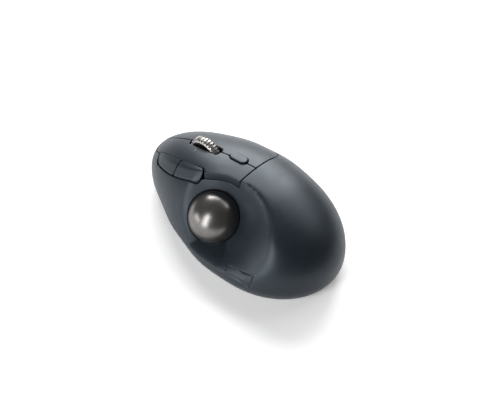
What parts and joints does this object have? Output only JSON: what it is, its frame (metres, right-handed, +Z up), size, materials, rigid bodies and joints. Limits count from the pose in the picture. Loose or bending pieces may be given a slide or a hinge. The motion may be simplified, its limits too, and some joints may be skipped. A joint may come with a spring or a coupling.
{
  "type": "trackball mouse",
  "caption": "Wireless thumb-operated trackball mouse with an egg-shaped palm shell, click plates, ribbed scroll wheel, thumb keys and a socketed ball.",
  "frame": {"origin": "middle of the footprint box, on the surface the feet rest on", "axes": "+X to the right of the user, +Y towards the nose, +Z up"},
  "size_m": [0.0855, 0.1455, 0.051],
  "materials": {
    "slate_plastic": "satin",
    "black_plastic": "matte",
    "ball_metallic": "satin",
    "wheel_metal": "satin",
    "bright_steel": "brushed",
    "circuit_board": "satin",
    "white_plastic": "gloss",
    "clear_lens": "gloss",
    "lip_rubber": "matte",
    "glide_foot": "smooth",
    "cell_wrap": "satin"
  },
  "bodies": {
    "case": {"upper_shell": "slate_plastic", "base_plate": "black_plastic", "button_frame": "black_plastic", "status_lens": "clear_lens", "socket_ring": "lip_rubber", "ball_cup": "black_plastic", "bearing_1": "white_plastic", "bearing_2": "white_plastic", "bearing_3": "white_plastic", "sensor_lens": "clear_lens", "sensor_board": "circuit_board", "main_board": "circuit_board", "side_board": "circuit_board", "switch_left": "black_plastic", "switch_right": "black_plastic", "switch_wheel": "black_plastic", "switch_dpi": "black_plastic", "switch_forward": "black_plastic", "switch_back": "black_plastic", "battery": "cell_wrap", "charge_port": "bright_steel", "foot_1": "glide_foot", "foot_2": "glide_foot", "foot_3": "glide_foot", "foot_4": "glide_foot", "foot_5": "glide_foot", "screw_1": "bright_steel", "screw_2": "bright_steel", "screw_3": "bright_steel", "screw_4": "bright_steel"},
    "left_button": {"left_button": "slate_plastic"},
    "right_button": {"right_button": "slate_plastic"},
    "forward_button": {"forward_button": "slate_plastic"},
    "back_button": {"back_button": "slate_plastic"},
    "dpi_button": {"dpi_button": "slate_plastic"},
    "wheel_yoke": {"wheel_yoke": "black_plastic", "wheel_encoder": "bright_steel"},
    "wheel": {"wheel_rim": "wheel_metal", "wheel_hub": "black_plastic"},
    "trackball": {"trackball": "ball_metallic"},
    "power_switch": {"power_switch": "black_plastic"},
    "pairing_button": {"pairing_button": "black_plastic"},
    "receiver": {"receiver": "bright_steel"},
    "left_pin": {"switch_left_pin": "white_plastic"},
    "right_pin": {"switch_right_pin": "white_plastic"},
    "wheel_pin": {"switch_wheel_pin": "white_plastic"},
    "dpi_pin": {"switch_dpi_pin": "white_plastic"},
    "forward_pin": {"switch_forward_pin": "white_plastic"},
    "back_pin": {"switch_back_pin": "white_plastic"}
  },
  "joints": [
    {"name": "left_button_press", "type": "hinge", "parent": "case", "child": "left_button", "pos_m": [-0.002, -0.004, 0.0465], "axis": [-1, 0, 0], "range_deg": [0, 0.8], "stiffness_Nm_per_rad": 1.6},
    {"name": "right_button_press", "type": "hinge", "parent": "case", "child": "right_button", "pos_m": [0.016, -0.004, 0.0465], "axis": [-1, 0, 0], "range_deg": [0, 0.8], "stiffness_Nm_per_rad": 1.6},
    {"name": "forward_button_press", "type": "slide", "parent": "case", "child": "forward_button", "axis": [1, 0, 0], "range_m": [0, 0.0004], "stiffness_N_per_m": 300},
    {"name": "back_button_press", "type": "slide", "parent": "case", "child": "back_button", "axis": [1, 0, 0], "range_m": [0, 0.0004], "stiffness_N_per_m": 300},
    {"name": "dpi_button_press", "type": "slide", "parent": "case", "child": "dpi_button", "axis": [0, 0, -1], "range_m": [0, 0.0005], "stiffness_N_per_m": 300},
    {"name": "wheel_click", "type": "slide", "parent": "case", "child": "wheel_yoke", "axis": [0, 0, -1], "range_m": [0, 0.0006], "stiffness_N_per_m": 300},
    {"name": "wheel_spin", "type": "hinge", "parent": "wheel_yoke", "child": "wheel", "pos_m": [0.0024, 0.0318, 0.0382], "axis": [1, 0, 0], "continuous": true},
    {"name": "ball_roll", "type": "hinge", "parent": "case", "child": "trackball", "pos_m": [-0.0196, 0.0028, 0.0223], "axis": [0.4347, -0.9006, 0], "continuous": true},
    {"name": "power_switch_slide", "type": "slide", "parent": "case", "child": "power_switch", "axis": [1, 0, 0], "range_m": [-0.002, 0.002]},
    {"name": "pairing_button_press", "type": "slide", "parent": "case", "child": "pairing_button", "axis": [0, 0, 1], "range_m": [0, 0.0004], "stiffness_N_per_m": 300},
    {"name": "receiver_slide", "type": "slide", "parent": "case", "child": "receiver", "axis": [0, 0, -1], "range_m": [0, 0.008]},
    {"name": "left_pin_slide", "type": "slide", "parent": "case", "child": "left_pin", "axis": [0, 0, -1], "range_m": [0, 0.0008]},
    {"name": "right_pin_slide", "type": "slide", "parent": "case", "child": "right_pin", "axis": [0, 0, -1], "range_m": [0, 0.0008]},
    {"name": "wheel_pin_slide", "type": "slide", "parent": "case", "child": "wheel_pin", "axis": [0, 0, -1], "range_m": [0, 0.0006]},
    {"name": "dpi_pin_slide", "type": "slide", "parent": "case", "child": "dpi_pin", "axis": [0, 0, -1], "range_m": [0, 0.0005]},
    {"name": "forward_pin_slide", "type": "slide", "parent": "case", "child": "forward_pin", "axis": [1, 0, 0], "range_m": [0, 0.0004]},
    {"name": "back_pin_slide", "type": "slide", "parent": "case", "child": "back_pin", "axis": [1, 0, 0], "range_m": [0, 0.0004]}
  ],
  "couplings": [
    {"joint": "left_pin_slide", "follows": "left_button_press", "m_per_rad": 0.056},
    {"joint": "right_pin_slide", "follows": "right_button_press", "m_per_rad": 0.056},
    {"joint": "wheel_pin_slide", "follows": "wheel_click", "ratio": 1},
    {"joint": "dpi_pin_slide", "follows": "dpi_button_press", "ratio": 1},
    {"joint": "forward_pin_slide", "follows": "forward_button_press", "ratio": 1},
    {"joint": "back_pin_slide", "follows": "back_button_press", "ratio": 1}
  ]
}
